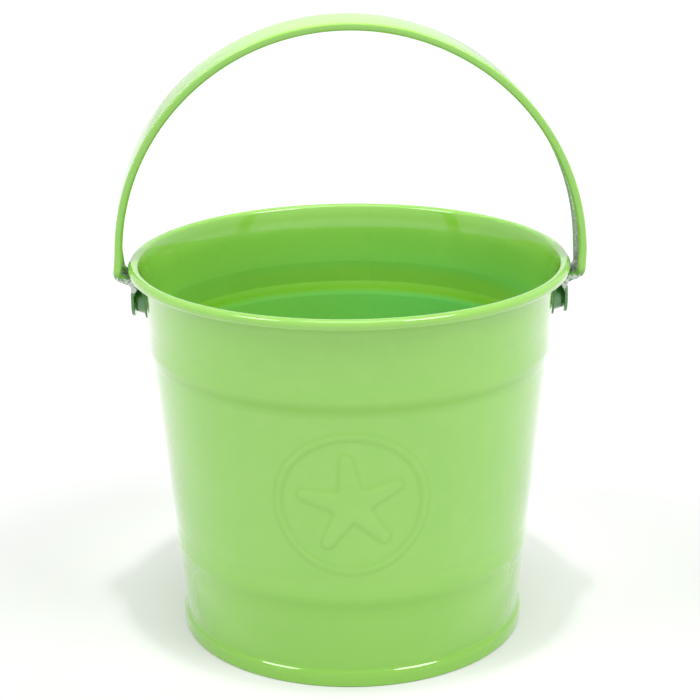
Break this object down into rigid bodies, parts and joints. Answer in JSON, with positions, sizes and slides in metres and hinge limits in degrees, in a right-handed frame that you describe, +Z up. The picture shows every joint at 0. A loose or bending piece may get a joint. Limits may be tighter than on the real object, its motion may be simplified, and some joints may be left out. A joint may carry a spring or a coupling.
{
  "type": "child's metal pail",
  "caption": "Small tapered sheet-metal pail with a rolled rim, two swaged bands, a seamed foot and a riveted strap handle that swings over the mouth.",
  "frame": {"origin": "centre of the foot, on the ground", "axes": "+Z up the pail's axis to its mouth; X along the handle's hinge line through both ears; Y across it, front to back"},
  "size_m": [0.176, 0.165, 0.2341],
  "materials": {
    "green_enamel": "gloss",
    "steel_wire": "satin"
  },
  "bodies": {
    "pail": {"wall": "green_enamel", "rim_wire": "steel_wire", "base_pan": "green_enamel", "left_ear": "green_enamel", "right_ear": "green_enamel", "left_rivet": "green_enamel", "right_rivet": "green_enamel"},
    "handle": {"handle": "green_enamel"}
  },
  "joints": [
    {"name": "handle_swing", "type": "hinge", "parent": "pail", "child": "handle", "pos_m": [0, 0, 0.1288], "axis": [1, 0, 0], "range_deg": [-130, 130]}
  ]
}
